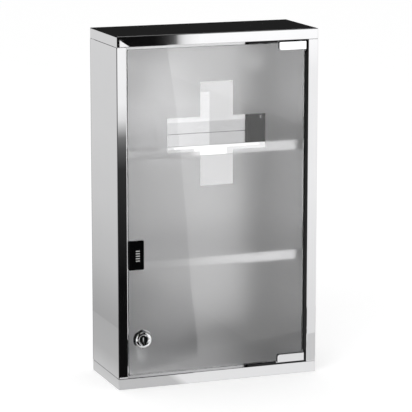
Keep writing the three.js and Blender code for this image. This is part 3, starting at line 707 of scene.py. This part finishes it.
# The black board in front of the door stops at a slanted edge, which the glass mirrors. It goes on along the
# floor, and up to the cap, where its edge is soft. Seen through the glass it is lit. The boards on the floor
# lie at small heights of their own, so that one covers the next.
BOARD_Y = -0.3
BOARD_TOP = 0.4533
STILE_EDGE = -0.0547
black_board = plain_board("board_black", mirrored=0.006, through=0.0)
dark_board = plain_board("board_dark", mirrored=0.018, through=0.0)
DOOR_SLANT = [(0.058, 0.0), (0.0473, 0.083), (0.0407, 0.18), (0.0244, 0.356), (0.0098, BOARD_TOP)]
DOOR_BOARD = [
    (STILE_EDGE, BOARD_Y, 0.0),
    *[(x, BOARD_Y, z) for x, z in DOOR_SLANT],
    (STILE_EDGE, BOARD_Y, BOARD_TOP),
]
card("door_board", DOOR_BOARD, black_board)
lit_board = shaded_board(
    "board_lit",
    "Z",
    [
        (0.0, 0.24),
        (0.06, 0.3),
        (0.11, 1.12),
        (0.2, 0.9),
        (0.26, 1.05),
        (0.3, 1.05),
        (0.36, 0.75),
        (BOARD_TOP, 0.65),
    ],
)
card("glass_door", DOOR_BOARD, lit_board, mirrored=False, through=True)
DOOR_EDGE = [(0.058, BOARD_Y), (0.0165, -0.187), (-0.0755, -0.144), (-0.1063, -0.13)]
card(
    "door_floor_board",
    [(STILE_EDGE, BOARD_Y, 0.001), *[(x, y, 0.001) for x, y in DOOR_EDGE]],
    black_board,
)
cap_board = shaded_board(
    "board_cap",
    "X",
    [
        (-0.012, 0.006),
        (0.001, 0.022),
        (0.0101, 0.053),
        (0.0184, 0.115),
        (0.0226, 0.22),
        (0.0267, 0.64),
        (0.0323, 0.95),
        (0.0378, 1.13),
        (0.0489, 1.28),
        (0.06, 1.36),
    ],
)
card("cap_board", upright(BOARD_Y, -0.2, 0.06, BOARD_TOP, 0.5), cap_board)
card(
    "corner_board",
    [(-0.0665, -0.299, BOARD_TOP), (-0.0498, -0.299, BOARD_TOP), (-0.0665, -0.299, 0.4645)],
    plain_board("board_corner", mirrored=1.3, through=0.0),
)
stile_board = shaded_board(
    "board_stile",
    "Z",
    [
        (0.1, 0.006),
        (0.189, 0.023),
        (0.27, 0.04),
        (0.301, 0.13),
        (0.318, 0.25),
        (0.345, 1.02),
        (0.371, 1.22),
        (BOARD_TOP, 1.28),
    ],
)
card("stile_board", upright(BOARD_Y, -0.2, STILE_EDGE, 0.0, BOARD_TOP), stile_board)
card(
    "stile_floor_board",
    [(-0.25, -0.1165, 0.002), (-0.116, -0.1165, 0.002), (STILE_EDGE, BOARD_Y, 0.002), (-0.2, BOARD_Y, 0.002)],
    black_board,
)

# Dark boards behind, in front and overhead, for the top and for the views from other sides.
card("top_board", upright(2, -3, 5, 0.53, 1.8), dark_board)
card("left_board", upright(-0.6, -0.45, 0.09, 0, 0.5), dark_board)
card("high_board", upright(-0.6, -3, 3, 0.5, 1.2), dark_board)
card("overhead_board", flat(1.5, -1.5, 1.0, -2.5, 0.3), dark_board)

# Pale boards on the floor, for the left wall, the base and the right stile.
side_board = shaded_board(
    "board_side",
    "X",
    [
        (-2.0, 0.89),
        (-1.22, 0.83),
        (-0.826, 0.81),
        (-0.556, 0.75),
        (-0.388, 0.64),
        (-0.295, 0.51),
        (-0.26, 0.47),
    ],
)
card("side_board", flat(0.001, -6, -0.26, -0.2, 9), side_board)
foot_board = shaded_board("board_foot", "X", [(-0.26, 0.53), (-0.2, 0.56), (-0.15, 0.78)])
card("foot_board", flat(0.001, -0.26, -0.15, -0.2, 9), foot_board)
front_board = shaded_board(
    "board_front",
    "Y",
    [(-4, 1.42), (-3.5, 1.34), (-3.05, 1.22), (-1.4, 1.18), (-0.58, 1.05), (-0.3, 1.0)],
)
card("front_board", flat(0.0005, -0.1, 4, -4.5, -0.117), front_board)


def near_corners(z):
    """The corners of the floor board by the door, whose front edge slants away to the right."""
    return [(-0.03, -0.117, z), (1.5, -0.117, z), (1.5, -0.7186, z), (-0.03, -0.174, z)]


card("near_board", near_corners(0.0008), plain_board("board_pale", mirrored=0.8, through=0.0))
kerb_board = shaded_board("board_kerb", "X", [(-0.06, 0.71), (-0.045, 1.08)])
card("kerb_board", flat(0.0006, -0.15, 0.6, -0.117, -0.06), kerb_board)

# Boards that only the glass sees. They set how light the etched door looks from left to right.
GLASS_FLOOR = 0.003
door_edge = [(x, y, GLASS_FLOOR) for x, y in DOOR_EDGE]
left_of_edge = [(-3, -0.6, GLASS_FLOOR), (0.058, -0.6, GLASS_FLOOR), *door_edge, (-3, -0.13, GLASS_FLOOR)]
right_of_edge = [
    (0.12, -0.06, GLASS_FLOOR),
    (0.12, -0.6, GLASS_FLOOR),
    (0.058, -0.6, GLASS_FLOOR),
    *door_edge,
    (-0.1063, -0.06, GLASS_FLOOR),
]
for name, level, corners in (
    ("near_left", 0.0, left_of_edge),
    ("near_middle", 1.25, right_of_edge),
    ("near_right", 1.77, flat(GLASS_FLOOR, 0.12, 0.3, -0.6, -0.06)),
    ("near_edge", 0.85, near_corners(0.0045)),
    ("far_left", 1.5, flat(GLASS_FLOOR, -3, 0, -4, -0.6)),
    ("far_middle", 1.7, flat(GLASS_FLOOR, 0, 0.6, -4, -0.6)),
    ("far_right", 1.42, flat(GLASS_FLOOR, 0.6, 1, -4, -0.6)),
    ("far_corner", 2.3, flat(GLASS_FLOOR, 1, 3, -4, -0.6)),
    ("wall_left", 0.0, upright(-4, -3, 0, 0, 4)),
    ("wall_middle", 1.45, upright(-4, 0, 1.3, 0, 4)),
    ("wall_right", 1.3, upright(-4, 1.3, 3, 0, 4)),
    ("side_left", 0.36, sideways(-3, -4, -0.06, 0, 4)),
    ("side_right", 1.75, sideways(3, -4, -0.06, 0, 4)),
):
    glass_board = plain_board("board_" + name, mirrored=0.0, through=level)
    card("glass_" + name, corners, glass_board, mirrored=False, through=True)

# A pool of light by the lock, soft at its right and front rims, lights the cam behind the etched glass.
POOL = {"x": (-0.102, -0.124), "y": (-0.22, -0.13), "level": 7.0}
pool_board, tree, place = new_material("board_pool")
shine(tree, corner_fade(tree, place, POOL["x"], POOL["y"], POOL["level"]))
pool_corners = flat(0.0055, -0.3, POOL["x"][0], POOL["y"][0], -0.06)
card("glass_pool", pool_corners, pool_board, mirrored=False, through=True)
